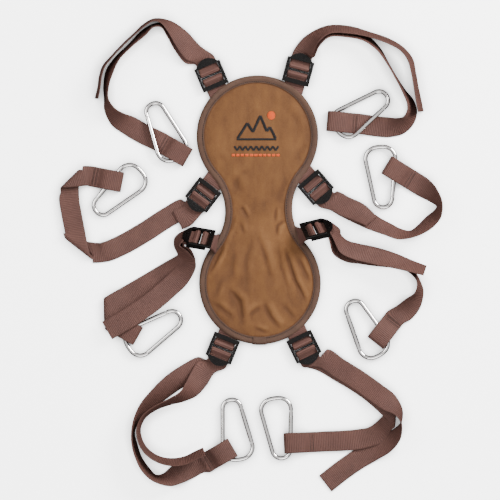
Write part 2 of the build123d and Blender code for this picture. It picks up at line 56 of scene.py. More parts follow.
def add_object(name, data):
    found = bpy.data.objects.new(name, data)
    bpy.context.scene.collection.objects.link(found)
    return found


camera_data = bpy.data.cameras.new("camera")
camera_data.sensor_width = 36
camera_data.lens = 36 * CAMERA_HEIGHT / VIEW_SIZE
camera_data.clip_end = 50
camera = add_object("camera", camera_data)
camera.location = (VIEW_CENTRE[0], VIEW_CENTRE[1], CAMERA_HEIGHT)
bpy.context.scene.camera = camera


def area_light(name, place, size, power, target=(0, 0, 0)):
    data = bpy.data.lights.new(name, "AREA")
    data.shape = "DISK"
    data.size = size
    data.energy = power
    light = add_object(name, data)
    light.location = place
    light.rotation_mode = "QUATERNION"
    light.rotation_quaternion = (Vector(place) - Vector(target)).to_track_quat("Z", "Y")


area_light("key", (1.35, 1.0, 1.05), 1.0, 100)
area_light("fill", (-1.5, 0.5, 1.5), 1.6, 36)
area_light("low", (0.2, -1.7, 1.5), 1.4, 22)

world = bpy.data.worlds.new("studio")
bpy.context.scene.world = world
world.use_nodes = True
sky = world.node_tree
spot = sky.nodes.new("ShaderNodeTexCoord")
split = sky.nodes.new("ShaderNodeSeparateXYZ")
shade = sky.nodes.new("ShaderNodeValToRGB")
shade.color_ramp.elements[0].position = 0.3
shade.color_ramp.elements[0].color = (0.025, 0.022, 0.022, 1)
shade.color_ramp.elements[1].position = 0.72
shade.color_ramp.elements[1].color = (1, 1, 1, 1)
sky.links.new(spot.outputs["Generated"], split.inputs[0])
sky.links.new(split.outputs[2], shade.inputs[0])
sky.links.new(shade.outputs[0], sky.nodes["Background"].inputs[0])
sky.nodes["Background"].inputs[1].default_value = 1.0

# ---- webbing routes, as in the part's source -----------------------------
WEBBING_WIDTH = 25.0
WEBBING_THICKNESS = 1.5
HALF_WIDTH = WEBBING_WIDTH / 2
HALF_THICKNESS = WEBBING_THICKNESS / 2
LOW_LAYER = 1.05
LOOP_SEWN = 37.0
SEWN_GAP = 0.1
FOLD_STEPS = 4
SEAM_LOWER = 1.6
SEAM_UPPER = 3.4
BAR_RADIUS = 1.6
BAR_HEIGHT = 3.6
ANCHOR_BAR_U = -7.5
STRAP_BAR_U = 1.5
WRAP_RADIUS = BAR_RADIUS + 0.3 + HALF_THICKNESS
TAIL_LAYER = 3.0
LOBE_RADIUS = 75.0
LOBE_OFFSET = 91.0
WAIST_RADIUS = 65.0
PANEL_TURN = 1.0

LEGS = {
    "upper_left": {
        "buckle": (-59.7, 168.6, 0.0, 112.8, 0.0, 0.0),
        "seam": (-48.4, 141.9, 112.8),
        "main": [
            (-81, 189, 0.3, 8),
            (-97, 207, 0.3, 26),
            (-110, 221, 0.3, 56),
            (-120, 228, 0.3, 76),
            (-130, 227, 0.3, 80),
            (-142, 218, 0.3, 72),
            (-158, 203, 0.3, 78),
            (-174, 187, 0.3, 76),
            (-184, 170, 0.3, 68),
            (-188, 153, 0.3, 74),
            (-188, 137, 0.3, 78),
            (-184, 124, 0.3, 60),
            (-174, 112, 0.3, 34),
            (-160, 104, 0.3, 10),
            (-143, 94, 0.3, 0),
        ],
        "loop": (-87.5, 64.0, -30.0, 10.4),
        "tail": [
            (-80, 193, 2.3, 10),
            (-96, 212, 3.4, 30),
            (-109, 226, 3.6, 58),
            (-119, 233, 2.0, 76),
            (-130, 234, 0.6, 82),
            (-141, 228, 0.4, 82),
            (-151, 219, 0.4, 84),
            (-166, 205, 0.4, 84),
            (-182, 188, 0.4, 84),
            (-191, 177, 0.4, 82),
            (-195, 165, 0.4, 82),
            (-197, 151, 0.4, 82),
            (-200, 137, 0.4, 80),
        ],
    },
    "upper_right": {
        "buckle": (49.6, 174.4, 0.0, 75.0, 0.0, 0.0),
        "seam": (42.0, 145.9, 75.0),
        "main": [
            (61, 197, 0.3, -24),
            (71, 209, 0.3, -50),
            (86, 218, 0.3, -64),
            (109, 218, 0.3, -64),
            (131, 212, 0.3, -70),
            (148, 198, 0.3, -78),
            (159, 181, 0.3, -84),
            (170, 162, 0.3, -84),
            (180, 145, 0.3, -78),
            (187, 133, 0.3, -68),
            (189, 122, 0.3, -60),
            (185, 111, 0.3, -52),
            (175, 104, 0.3, -34),
            (161, 102, 0.3, -12),
            (146, 103, 0.3, 0),
        ],
        "loop": (84.4, 109.8, 174.8, 10.4),
        "tail": [
            (60, 201, 2.3, -26),
            (70, 213, 3.2, -52),
            (86, 222, 3.0, -64),
            (111, 222, 2.4, -67),
            (137, 216, 1.0, -74),
            (160, 208, 0.4, -74),
            (177, 198, 0.4, -76),
            (187, 185, 0.4, -74),
            (191, 169, 0.4, -76),
            (194, 152, 0.4, -76),
            (197, 136, 0.4, -74),
            (200, 121, 0.4, -74),
        ],
    },
    "left_upper": {
        "buckle": (-70.7, 15.6, 0.0, 232.6, 0.0, 0.0),
        "seam": (-52.4, 39.6, 232.6),
        "main": [
            (-91, 2, 0.3, 0),
            (-112, -9, 0.3, 0),
            (-140, -27, 0.3, 0),
            (-170, -44, 0.3, 0),
            (-190, -52, 0.3, -10),
            (-203, -53, 0.3, 0),
            ("fold", -222, -48, 180.0, 104.0, 1.05, 6.0),
            (-227, -26, 5.6, 0),
            (-231, -5, 5.2, 0),
            (-234, 14, 4.8, 0),
            ("fold", -233, 38, 98.0, -9.0, 5.6, 5.6),
            (-213, 42, 7.6, 0),
        ],
        "loop": (-168.2, 33.8, -11.0, 9.2),
        "tail": [(-88, -7, 2.3, 0), (-98, -12, 2.2, 0), (-100, -13, 2.2, 0)],
    },
    "left_lower": {
        "buckle": (-75.4, -38.0, 14.4, 170.2, 50.0, -6.0),
        "seam": (-50.9, -42.2, 170.2),
        "main": [
            (-96, -40, 0.6, 66),
            (-96, -46, 0.4, 70),
            (-90, -51, 0.3, 60),
            (-86, -58, 0.3, 40),
            (-95, -67, 0.3, 14),
            (-112, -77, 0.3, 0),
            (-134, -90, 0.3, 0),
            (-158, -104, 0.5, 0),
            ("fold", -190.5, -124, 212.0, 330.0, 6.4, -5.0),
        ],
        "loop": (-148.7, -156.4, -29.5, 9.3),
        "tail": [
            (-96, -34, 3.0, 66),
            (-101, -43, 1.0, 74),
            (-94, -53, 1.0, 62),
            (-87, -64, 1.0, 40),
            (-95, -80, 2.4, 15),
            (-113, -98, 6.0, 4),
            (-133, -115, 9.5, 2),
            (-155, -130, 11.0, 2),
            (-173, -141, 11.0, 2),
            (-187, -149, 11.0, 2),
        ],
    },
    "right_upper": {
        "buckle": (72.8, 25.2, 0.0, -49.3, 0.0, 0.0),
        "seam": (53.1, 48.1, -49.3),
        "main": [
            (91, 12, 0.3, 0),
            (107, 3, 0.3, 0),
            (123, -5, 0.3, -8),
            (141, -16, 0.3, -38),
            (159, -24, 0.3, -50),
            (174, -30, 0.3, -58),
            (188, -30, 0.3, -70),
            (200, -24, 0.3, -62),
            (212, -14, 0.3, -54),
            (221, -4, 0.3, -66),
            (223, 6, 0.3, -74),
            (216, 17, 0.3, -50),
            (204, 27, 0.3, -20),
        ],
        "loop": (157.6, 55.8, 148.5, 9.6),
        "tail": [(93, 11, 2.3, 0), (107, 4, 2.3, -3), (123, -3, 3.0, -16), (139, -14, 4.0, -46)],
    },
    "right_lower": {
        "buckle": (73.2, -27.4, 15.2, 13.6, -54.0, -8.0),
        "seam": (48.5, -32.6, 13.6),
        "main": [
            (91, -29, 0.8, -64),
            (92, -37, 0.4, -66),
            (96, -46, 0.3, -46),
            (109, -53, 0.3, -28),
            (127, -56, 0.3, -28),
            (145, -59, 0.3, -32),
            (161, -62, 0.3, -42),
            (175, -66, 0.3, -56),
            (188, -75, 0.3, -74),
            (197, -88, 0.3, -80),
            (198, -101, 0.3, -66),
            (191, -114, 0.3, -36),
            (179, -127, 0.3, -8),
        ],
        "loop": (143.9, -164.4, -128.4, 9.3),
        "tail": [
            (93, -24, 2.8, -64),
            (97, -34, 2.4, -64),
            (105, -45, 3.2, -46),
            (119, -51, 4.5, -36),
            (136, -55, 6.5, -32),
            (152, -59, 9.0, -34),
            (167, -63, 12.0, -42),
            (186, -69, 14.0, -54),
            (205, -75, 14.0, -60),
        ],
    },
    "lower_left": {
        "buckle": (-45.8, -174.1, 0.0, 248.0, 0.0, 0.0),
        "seam": (-35.4, -148.1, 248.0),
        "main": [
            (-70, -193, 0.3, 0),
            (-88, -202, 0.3, -6),
            (-107, -214, 0.3, -20),
            (-126, -230, 0.3, -38),
            (-142, -246, 0.3, -56),
            (-151, -260, 0.3, -74),
            (-155, -275, 0.3, -82),
            (-153, -290, 0.3, -76),
            (-148, -306, 0.3, -74),
            (-139, -321, 0.3, -70),
            (-128, -331, 0.3, -72),
            (-114, -333, 0.3, -50),
            (-101, -327, 0.3, -16),
            (-86, -320, 0.3, 0),
            (-72, -313, 0.3, 0),
        ],
        "loop": (-31.9, -292.9, 30.5, 9.6),
        "tail": [
            (-64, -194, 2.3, 0),
            (-74, -209, 3.2, -8),
            (-83, -221, 4.0, -32),
            (-94, -230, 4.0, -58),
            (-110, -237, 3.0, -72),
            (-128, -245, 2.0, -78),
            (-142, -256, 1.0, -80),
            (-148, -270, 0.4, -80),
            (-146, -285, 0.4, -78),
            (-138, -298, 0.4, -76),
            (-125, -307, 1.0, -74),
            (-108, -311, 2.5, -70),
            (-91, -309, 4.5, -68),
            (-78, -303, 6.0, -68),
            (-67, -298, 6.5, -68),
        ],
    },
    "lower_right": {
        "buckle": (57.4, -172.3, 0.0, -64.0, 0.0, 0.0),
        "seam": (44.7, -146.2, -64.0),
        "main": [
            (77, -187, 0.3, 0),
            (100, -200, 0.6, 0),
            (122, -213, 2.4, 0),
            (144, -229, 5.2, 0),
            ("fold", 169, -253, -40.0, -150.0, 7.4, -3.8),
            (146, -277, 2.9, 0),
            (125, -283, 2.9, 0),
            (105, -285, 2.6, 0),
            (80, -286, 2.2, 0),
        ],
        "loop": (31.1, -288.2, 182.3, 9.8),
        "tail": [
            (78, -183, 2.3, 0),
            (100, -196, 2.9, 0),
            (124, -211, 5.0, 0),
            (145, -226, 8.2, -4),
            (161, -238, 8.2, -22),
            (173, -250, 3.0, -64),
            (176, -263, 0.4, -90),
            (171, -276, 0.3, -120),
            (159, -287, 0.3, -154),
            (142, -297, 0.3, -176),
            (123, -308, 0.3, -180),
            (104, -321, 0.3, -180),
            (82.3, -338, 0.3, -180),
        ],
    },
}


def spin(angle):
    """Unit vector at an angle in the floor plane."""
    return Vector((math.cos(math.radians(angle)), math.sin(math.radians(angle)), 0))


def left_edge(travel, tilt):
    """Unit vector from the middle of the webbing to its left edge."""
    level = Vector((-travel.y, travel.x, 0)).normalized()
    raised = travel.cross(level)
    return level * math.cos(math.radians(tilt)) + raised * math.sin(math.radians(tilt))


class Buckle:
    """Place of a ladder lock: u outward to the leg, v across, w out of its top."""

    def __init__(self, x, y, lift, heading, tilt, pitch):
        slope = math.radians(pitch)
        self.origin = Vector((x, y, lift))
        self.out = spin(heading) * math.cos(slope) + Vector((0, 0, math.sin(slope)))
        self.across = left_edge(self.out, tilt)
        self.up = self.out.cross(self.across)

    def at(self, u, v, w):
        return self.origin + self.out * u + self.across * v + self.up * w


def fold_sections(x, y, arrival, departure, low, rise):
    """Sections of webbing that doubles back over a slanted crease."""
    axis = (spin(arrival) + spin(departure)).normalized()
    outer = (spin(arrival) - spin(departure)).normalized()
    slant = spin(arrival).angle(axis)
    radius = abs(rise) / 2
    half = axis * (HALF_WIDTH / math.sin(slant))
    found = []
    for step in range(FOLD_STEPS + 1):
        angle = math.pi * step / FOLD_STEPS
        advance = radius * (angle - math.pi / 2) / math.tan(slant)
        height = low + rise / 2 * (1 - math.cos(angle))
        spot = Vector((x, y, height)) + axis * advance + outer * (radius * (math.sin(angle) - 1))
        found.append((spot, half.copy()))
    return found


def soft_sections(stations):
    """Middle points and half widths of the webbing along a list of stations."""
    places = []
    for station in stations:
        if station[0] == "fold":
            _, x, y, _, _, low, rise = station
            places.append(Vector((x, y, low + rise / 2)))
            continue
        x, y, lift, tilt = station
        swing = abs(math.sin(math.radians(tilt)))
        level = math.sqrt(max(1 - swing**2, 0))
        places.append(Vector((x, y, lift + HALF_WIDTH * swing + HALF_THICKNESS * level)))
    found = []
    for index, (station, place) in enumerate(zip(stations, places)):
        before = places[max(index - 1, 0)]
        after = places[min(index + 1, len(places) - 1)]
        if station[0] == "fold":
            found += fold_sections(*station[1:])
        else:
            travel = (after - before).normalized()
            found.append((place, left_edge(travel, station[3]) * HALF_WIDTH))
    return found


def aligned(sections):
    """The same sections, each with its half width on the same side as the last."""
    found = [sections[0]]
    for centre, half in sections[1:]:
        found.append((centre, half if half.dot(found[-1][1]) > 0 else half * -1))
    return found


def thread_sections(buckle):
    """Sections of the strap round the buckle's strap bar, from leg side to tail."""
    path = [(16.0, LOW_LAYER), (8.0, LOW_LAYER)]
    for angle in (-90, -120, -150, 180, 150, 120, 90, 50):
        turn = math.radians(angle)
        path.append((STRAP_BAR_U + WRAP_RADIUS * math.cos(turn), BAR_HEIGHT + WRAP_RADIUS * math.sin(turn)))
    path += [(STRAP_BAR_U + 3.6, 3.9), (STRAP_BAR_U + 5.4, 3.15), (12.0, TAIL_LAYER), (18.0, TAIL_LAYER)]
    return [(buckle.at(u, 0, w), buckle.across * HALF_WIDTH) for u, w in path]


def loop_sections(x, y, heading, top):
    """Sections of the sewn loop, from the end of its lower layer to the leg."""
    sewn_top = LOW_LAYER + WEBBING_THICKNESS + SEWN_GAP
    path = [
        (LOOP_SEWN, LOW_LAYER),
        (28.0, LOW_LAYER),
        (5.0, LOW_LAYER),
        (1.9, 1.9),
        (0.8, 3.8),
        (1.0, top - 3.4),
        (2.6, top - 1.1),
        (6.0, top),
        (20.0, top - 0.3),
        (25.0, top - 2.4),
        (29.0, sewn_top + 1.2),
        (32.0, sewn_top),
        (LOOP_SEWN + 3.0, sewn_top),
    ]
    outward = spin(heading)
    half = Vector((-outward.y, outward.x, 0)) * HALF_WIDTH
    end = Vector((x, y, 0))
    return [(end - outward * inboard + Vector((0, 0, height)), half.copy()) for inboard, height in path]


def anchor_sections(buckle, x, y, heading):
    """Sections of the short webbing from the binding round the buckle's anchor bar and back."""
    path = [(-17.0, LOW_LAYER), (-12.0, LOW_LAYER)]
    for angle in (-90, -60, -30, 0, 30, 60, 90, 130):
        turn = math.radians(angle)
        u = ANCHOR_BAR_U + WRAP_RADIUS * math.cos(turn)
        path.append((u, BAR_HEIGHT + WRAP_RADIUS * math.sin(turn)))
    path += [(ANCHOR_BAR_U - 3.6, 3.9), (ANCHOR_BAR_U - 5.4, 3.05), (-17.0, 2.8)]
    seam_half = left_edge(spin(heading), 0) * HALF_WIDTH
    found = [(buckle.at(u, 0, w), buckle.across * HALF_WIDTH) for u, w in path]
    found.insert(0, (Vector((x, y, SEAM_LOWER)), seam_half))
    found.append((Vector((x, y, SEAM_UPPER)), seam_half))
    return found


# ---- mesh makers ---------------------------------------------------------
def smooth_run(points, knots, spot):
    """Point on a smooth curve through the points, for a spot between two knots."""
    last = len(points) - 1
    index = min(max(int(np.searchsorted(knots, spot, side="right")) - 1, 0), last - 1)
    p1, p2 = points[index], points[index + 1]
    t1, t2 = knots[index], knots[index + 1]
    share = (spot - t1) / (t2 - t1)

    def slope(k):
        if k == 0:
            return (points[1] - points[0]) / (knots[1] - knots[0])
        if k == last:
            return (points[last] - points[last - 1]) / (knots[last] - knots[last - 1])
        left = (points[k] - points[k - 1]) / (knots[k] - knots[k - 1])
        right = (points[k + 1] - points[k]) / (knots[k + 1] - knots[k])
        a, b = knots[k] - knots[k - 1], knots[k + 1] - knots[k]
        return (left * b + right * a) / (a + b)

    m1, m2 = slope(index) * (t2 - t1), slope(index + 1) * (t2 - t1)
    s2, s3 = share * share, share**3
    return p1 * (2 * s3 - 3 * s2 + 1) + m1 * (s3 - 2 * s2 + share) + p2 * (3 * s2 - 2 * s3) + m2 * (s3 - s2)


ACROSS = [(-1.0, 0.30), (-0.97, 0.62), (-0.86, 0.75), (-0.45, 0.75), (0.0, 0.75)]
ACROSS = ACROSS + [(-v, t) for v, t in ACROSS[-2::-1]]


def ribbon(name, sections, step=1.6):
    """Closed strip of webbing through the sections, with its length and width as UVs in metres."""
    centres = [np.array(c) for c, _ in sections]
    lefts = [np.array(c + h) for c, h in sections]
    rights = [np.array(c - h) for c, h in sections]
    knots = [0.0]
    for a, b in zip(centres, centres[1:]):
        knots.append(knots[-1] + max(float(np.linalg.norm(b - a)), 0.2) ** 0.75)
    spots = []
    for k in range(len(knots) - 1):
        length = float(np.linalg.norm(centres[k + 1] - centres[k]))
        count = max(2, math.ceil(length / step))
        spots += [knots[k] + (knots[k + 1] - knots[k]) * n / count for n in range(count)]
    spots.append(knots[-1])
    left_row = [smooth_run(lefts, knots, s) for s in spots]
    right_row = [smooth_run(rights, knots, s) for s in spots]
    middle = [(a + b) / 2 for a, b in zip(left_row, right_row)]
    run = [0.0]
    for a, b in zip(middle, middle[1:]):
        run.append(run[-1] + float(np.linalg.norm(b - a)))
    verts, uvs = [], []
    width = len(ACROSS)
    for k, centre in enumerate(middle):
        travel = middle[min(k + 1, len(middle) - 1)] - middle[max(k - 1, 0)]
        travel = travel / np.linalg.norm(travel)
        half = (left_row[k] - right_row[k]) / 2
        normal = np.cross(travel, half)
        normal = normal / np.linalg.norm(normal)
        lean = float(half @ travel)
        for side in (1, -1):
            for v, thick in ACROSS:
                verts.append(tuple((centre + half * v + normal * (side * thick)) * MM))
                uvs.append(((run[k] + lean * v) * MM, v * HALF_WIDTH * MM))
    ring = 2 * width
    faces = []
    for k in range(len(middle) - 1):
        a, b = k * ring, (k + 1) * ring
        for j in range(width - 1):
            faces.append((a + j, a + j + 1, b + j + 1, b + j))
            faces.append((a + width + j + 1, a + width + j, b + width + j, b + width + j + 1))
        faces.append((a + width, a, b, b + width))
        faces.append((a + width - 1, a + ring - 1, b + ring - 1, b + width - 1))
    end = (len(middle) - 1) * ring
    for j in range(width - 1):
        faces.append((j + 1, j, width + j, width + j + 1))
        faces.append((end + j, end + j + 1, end + width + j + 1, end + width + j))
    mesh = bpy.data.meshes.new(name)
    mesh.from_pydata(verts, [], faces)
    layer = mesh.uv_layers.new(name="UVMap")
    for loop in mesh.loops:
        layer.data[loop.index].uv = uvs[loop.vertex_index]
    mesh.update()
    mesh.shade_smooth()
    return add_object(name, mesh), run[-1] * MM


def hourglass(step):
    """Points of the panel's edge: place, outward direction and distance run, in mm."""
    reach = math.sqrt((LOBE_RADIUS + WAIST_RADIUS) ** 2 - LOBE_OFFSET**2)
    limit = math.degrees(math.atan2(LOBE_OFFSET, reach))
    arcs = [
        ((0, LOBE_OFFSET), LOBE_RADIUS, -limit, 180 + limit, 1),
        ((-reach, 0), WAIST_RADIUS, limit, -limit, -1),
        ((0, -LOBE_OFFSET), LOBE_RADIUS, 180 - limit, 360 + limit, 1),
        ((reach, 0), WAIST_RADIUS, 180 + limit, 180 - limit, -1),
    ]
    turn = math.radians(PANEL_TURN)
    found, run = [], 0.0
    for (cx, cy), radius, start, stop, sense in arcs:
        length = radius * math.radians(abs(stop - start))
        count = math.ceil(length / step)
        for k in range(count):
            angle = math.radians(start + (stop - start) * k / count)
            out = (math.cos(angle), math.sin(angle))
            x, y = cx + radius * out[0], cy + radius * out[1]
            place = (x * math.cos(turn) - y * math.sin(turn), x * math.sin(turn) + y * math.cos(turn))
            normal = (
                sense * (out[0] * math.cos(turn) - out[1] * math.sin(turn)),
                sense * (out[0] * math.sin(turn) + out[1] * math.cos(turn)),
            )
            found.append((place, normal, run + length * k / count))
        run += length
    return found, run


def edge_strip(name, profile, start=None, stop=None, step=2.0):
    """Closed tape that follows the panel's edge, or a stretch of it, with a profile of (inset, height)."""
    points, total = hourglass(step)
    closed = start is None
    if not closed:
        points = [p for p in points if start <= p[2] <= stop]
    size = len(profile)
    lengths = [0.0]
    for (a, b), (c, d) in zip(profile, profile[1:]):
        lengths.append(lengths[-1] + math.hypot(c - a, d - b))
    verts, uvs = [], []
    for (x, y), (nx, ny), run in points:
        for (inset, height), across in zip(profile, lengths):
            verts.append(((x - nx * inset) * MM, (y - ny * inset) * MM, height * MM))
            uvs.append((run * MM, across * MM))
    faces = []
    count = len(points)
    for k in range(count if closed else count - 1):
        a, b = k * size, ((k + 1) % count) * size
        for j in range(size):
            n = (j + 1) % size
            faces.append((a + j, a + n, b + n, b + j))
    if not closed:
        faces.append(tuple(range(size))[::-1])
        faces.append(tuple((count - 1) * size + j for j in range(size)))
    mesh = bpy.data.meshes.new(name)
    mesh.from_pydata(verts, [], faces)
    layer = mesh.uv_layers.new(name="UVMap")
    for polygon in mesh.polygons:
        runs = [uvs[mesh.loops[i].vertex_index][0] for i in polygon.loop_indices]
        wrap = max(runs) - min(runs) > 0.5 * total * MM
        for i in polygon.loop_indices:
            u, v = uvs[mesh.loops[i].vertex_index]
            layer.data[i].uv = (u + total * MM if wrap and u < 0.5 * total * MM else u, v)
    mesh.update()
    mesh.shade_smooth()
    return add_object(name, mesh), total * MM


# share of the length, share of the radius, share of the lift
THREAD_ROWS = [(0.0, 0.35, 0.0), (0.12, 0.9, 0.7), (0.5, 1.0, 1.0), (0.88, 0.9, 0.7), (1.0, 0.35, 0.0)]


def thread_mesh(name, stitches, radius):
    """One mesh of many short threads, each from a to b with a raised middle."""
    verts, faces = [], []
    for a, b, lift in stitches:
        a, b = Vector(a), Vector(b)
        along = (b - a).normalized()
        side = along.cross(Vector((0, 0, 1))).normalized()
        up = side.cross(along)
        base = len(verts)
        for share, size, rise in THREAD_ROWS:
            middle = a.lerp(b, share) + up * (lift * rise)
            for corner in range(6):
                angle = math.pi * corner / 3
                sideways = side * (math.cos(angle) * radius * size)
                upwards = up * (math.sin(angle) * radius * size)
                verts.append(tuple((middle + sideways + upwards) * MM))
        for row in range(len(THREAD_ROWS) - 1):
            for corner in range(6):
                n = (corner + 1) % 6
                p, q = base + row * 6, base + row * 6 + 6
                faces.append((p + corner, p + n, q + n, q + corner))
        faces.append(tuple(base + c for c in range(6))[::-1])
        faces.append(tuple(len(verts) - 6 + c for c in range(6)))
    mesh = bpy.data.meshes.new(name)
    mesh.from_pydata(verts, [], faces)
    mesh.update()
    mesh.shade_smooth()
    return add_object(name, mesh)


# ---- materials -----------------------------------------------------------
class Paint:
    """A material under construction, with short calls for its nodes."""

    def __init__(self, name, roughness, **sockets):
        self.material = bpy.data.materials.new(name)
        self.material.use_nodes = True
        self.tree = self.material.node_tree
        self.shader = self.tree.nodes["Principled BSDF"]
        self.shader.inputs["Roughness"].default_value = roughness
        for key, value in sockets.items():
            self.shader.inputs[key.replace("_", " ")].default_value = value

    def node(self, kind, **settings):
        found = self.tree.nodes.new(kind)
        for key, value in settings.items():
            setattr(found, key, value)
        return found

    def join(self, source, target):
        self.tree.links.new(source, target)

    def feed(self, socket, value):
        if isinstance(value, (int, float)):
            socket.default_value = value
        else:
            self.join(value, socket)

    def calc(self, operation, a, b=0.0, c=0.0):
        found = self.node("ShaderNodeMath", operation=operation)
        for socket, value in zip(found.inputs, (a, b, c)):
            self.feed(socket, value)
        return found.outputs[0]

    def place(self, kind="Object"):
        return self.node("ShaderNodeTexCoord").outputs[kind]

    def uv(self):
        split = self.node("ShaderNodeSeparateXYZ")
        self.join(self.place("UV"), split.inputs[0])
        return split.outputs[0], split.outputs[1]

    def noise(self, scale, detail=3.0, stretch=None):
        found = self.node("ShaderNodeTexNoise")
        found.inputs["Scale"].default_value = scale
        found.inputs["Detail"].default_value = detail
        spot = self.place()
        if stretch:
            mapping = self.node("ShaderNodeMapping")
            mapping.inputs["Scale"].default_value = stretch
            self.join(spot, mapping.inputs[0])
            spot = mapping.outputs[0]
        self.join(spot, found.inputs["Vector"])
        return found.outputs["Fac"]

    def ramp(self, value, stops):
        found = self.node("ShaderNodeValToRGB")
        self.feed(found.inputs[0], value)
        elements = found.color_ramp.elements
        while len(elements) < len(stops):
            elements.new(0.5)
        for element, (spot, colour) in zip(elements, stops):
            element.position = spot
            element.color = (*colour, 1)
        return found.outputs[0]

    def colour(self, value):
        self.join(value, self.shader.inputs["Base Color"])

    def roughness(self, value, low, high):
        found = self.node("ShaderNodeMapRange")
        self.join(value, found.inputs[0])
        found.inputs[3].default_value = low
        found.inputs[4].default_value = high
        self.join(found.outputs[0], self.shader.inputs["Roughness"])

    def bump(self, layers):
        """Stacks bumps: each layer is (height, distance in metres)."""
        normal = None
        for height, distance in layers:
            found = self.node("ShaderNodeBump")
            found.inputs["Distance"].default_value = distance
            self.join(height, found.inputs["Height"])
            if normal is not None:
                self.join(normal, found.inputs["Normal"])
            normal = found.outputs[0]
        self.join(normal, self.shader.inputs["Normal"])


def linear(r, g, b):
    """Screen colour of 0 to 255 as linear light."""
    found = []
    for value in (r, g, b):
        value /= 255
        found.append(value / 12.92 if value <= 0.04045 else ((value + 0.055) / 1.055) ** 2.4)
    return tuple(found)


def webbing_paint(name, base, dark, rib=0.0021):
    """Ribbed webbing: ribs across it, fine lengthwise strands, plain selvedges."""
    paint = Paint(name, 0.7, Specular_IOR_Level=0.28)
    u, v = paint.uv()
    wave = paint.calc("SINE", paint.calc("MULTIPLY", u, 2 * math.pi / rib))
    strand = paint.calc("SINE", paint.calc("MULTIPLY", v, 2 * math.pi / 0.0011))
    weave = paint.calc("MULTIPLY_ADD", strand, 0.22, wave)
    edge = paint.calc("ABSOLUTE", v)
    border = paint.calc("GREATER_THAN", edge, HALF_WIDTH * MM - 0.0013)
    weave = paint.calc("MULTIPLY", weave, paint.calc("SUBTRACT", 1.0, border))
    share = paint.calc("MULTIPLY_ADD", weave, 0.22, 0.5)
    patch = paint.noise(38, 4)
    fine = paint.noise(900, 2)
    share = paint.calc("ADD", share, paint.calc("MULTIPLY_ADD", patch, 0.7, -0.35))
    share = paint.calc("ADD", share, paint.calc("MULTIPLY_ADD", fine, 0.5, -0.25))
    share = paint.calc("SUBTRACT", share, paint.calc("MULTIPLY", border, 0.12))
    paint.colour(paint.ramp(share, [(0.0, dark), (1.0, base)]))
    paint.roughness(fine, 0.62, 0.85)
    paint.bump([(weave, 0.00018), (fine, 0.0001)])
    return paint.material


WEBBING = webbing_paint("webbing", linear(94, 62, 54), linear(54, 33, 28))
TAPE = webbing_paint("binding_tape", linear(92, 66, 52), linear(52, 36, 28), 0.0012)


def canvas_paint():
    """Waxed cotton canvas: plain weave, rubbed patches, darker soft blotches, and painted shade in the
    creases and just inside the binding.
    """
    paint = Paint("waxed_canvas", 0.8, Specular_IOR_Level=0.22)
    split = paint.node("ShaderNodeSeparateXYZ")
    paint.join(paint.place(), split.inputs[0])
    warp = paint.calc("SINE", paint.calc("MULTIPLY", split.outputs[0], 2 * math.pi / 0.0009))
    weft = paint.calc("SINE", paint.calc("MULTIPLY", split.outputs[1], 2 * math.pi / 0.0009))
    weave = paint.calc("MULTIPLY", warp, weft)
    broad = paint.noise(14, 5)
    cloudy = paint.noise(55, 6, (1.6, 0.7, 1.0))
    fine = paint.noise(700, 3)
    share = paint.calc("MULTIPLY_ADD", broad, 0.9, -0.22)
    share = paint.calc("ADD", share, paint.calc("MULTIPLY_ADD", cloudy, 0.8, -0.35))
    share = paint.calc("ADD", share, paint.calc("MULTIPLY_ADD", fine, 0.36, -0.18))
    share = paint.calc("ADD", share, paint.calc("MULTIPLY", weave, 0.07))
    # painted shade: a point attribute makes the canvas darker in its crease valleys and in a band just
    # inside the binding
    fold = paint.node("ShaderNodeAttribute", attribute_name="crease_and_edge_shade").outputs["Fac"]
    share = paint.calc("SUBTRACT", share, paint.calc("MULTIPLY", fold, 0.45))
    tones = [(0.0, linear(80, 50, 27)), (0.45, linear(103, 68, 38)), (1.0, linear(126, 88, 55))]
    paint.colour(paint.ramp(share, tones))
    paint.roughness(cloudy, 0.68, 0.9)
    paint.bump([(cloudy, 0.0009), (weave, 0.00010), (fine, 0.00015)])
    return paint.material


CANVAS = canvas_paint()


def thread_paint(name, light, dark, roughness=0.55):
    paint = Paint(name, roughness, Specular_IOR_Level=0.3)
    fine = paint.noise(1600, 3)
    paint.colour(paint.ramp(fine, [(0.3, dark), (0.75, light)]))
    paint.bump([(fine, 0.00015)])
    return paint.material


BROWN_THREAD = thread_paint("brown_thread", linear(44, 28, 22), linear(20, 12, 10))
BLACK_THREAD = thread_paint("black_thread", linear(26, 21, 20), linear(8, 6, 6), 0.6)
ORANGE_THREAD = thread_paint("orange_thread", linear(216, 88, 26), linear(170, 58, 14), 0.5)


def plastic_paint():
    """Moulded black acetal with a faint grain and handling marks."""
    paint = Paint("black_acetal", 0.25, Specular_IOR_Level=0.22)
    fine = paint.noise(420, 4)
    broad = paint.noise(60, 3)
    paint.colour(paint.ramp(broad, [(0.2, linear(6, 5, 5)), (0.9, linear(16, 13, 12))]))
    paint.roughness(fine, 0.18, 0.34)
    paint.bump([(fine, 0.00008)])
    return paint.material


def metal_paint(name, low, high, light, dark):
    """Polished plated steel with fine scratches and slightly dulled patches."""
    paint = Paint(name, low, Metallic=1.0)
    scratches = paint.noise(260, 5, (1.0, 9.0, 1.0))
    dull = paint.noise(90, 4)
    paint.colour(paint.ramp(dull, [(0.25, dark), (0.8, light)]))
    paint.roughness(scratches, low, high)
    paint.bump([(scratches, 0.000006)])
    return paint.material


PLASTIC = plastic_paint()
STEEL = metal_paint("polished_steel", 0.07, 0.16, linear(246, 243, 241), linear(222, 218, 216))
SPRING = metal_paint("spring_steel", 0.25, 0.45, linear(190, 190, 192), linear(150, 150, 152))


def dress(obj, material):
    obj.data.materials.clear()
    obj.data.materials.append(material)
    return obj


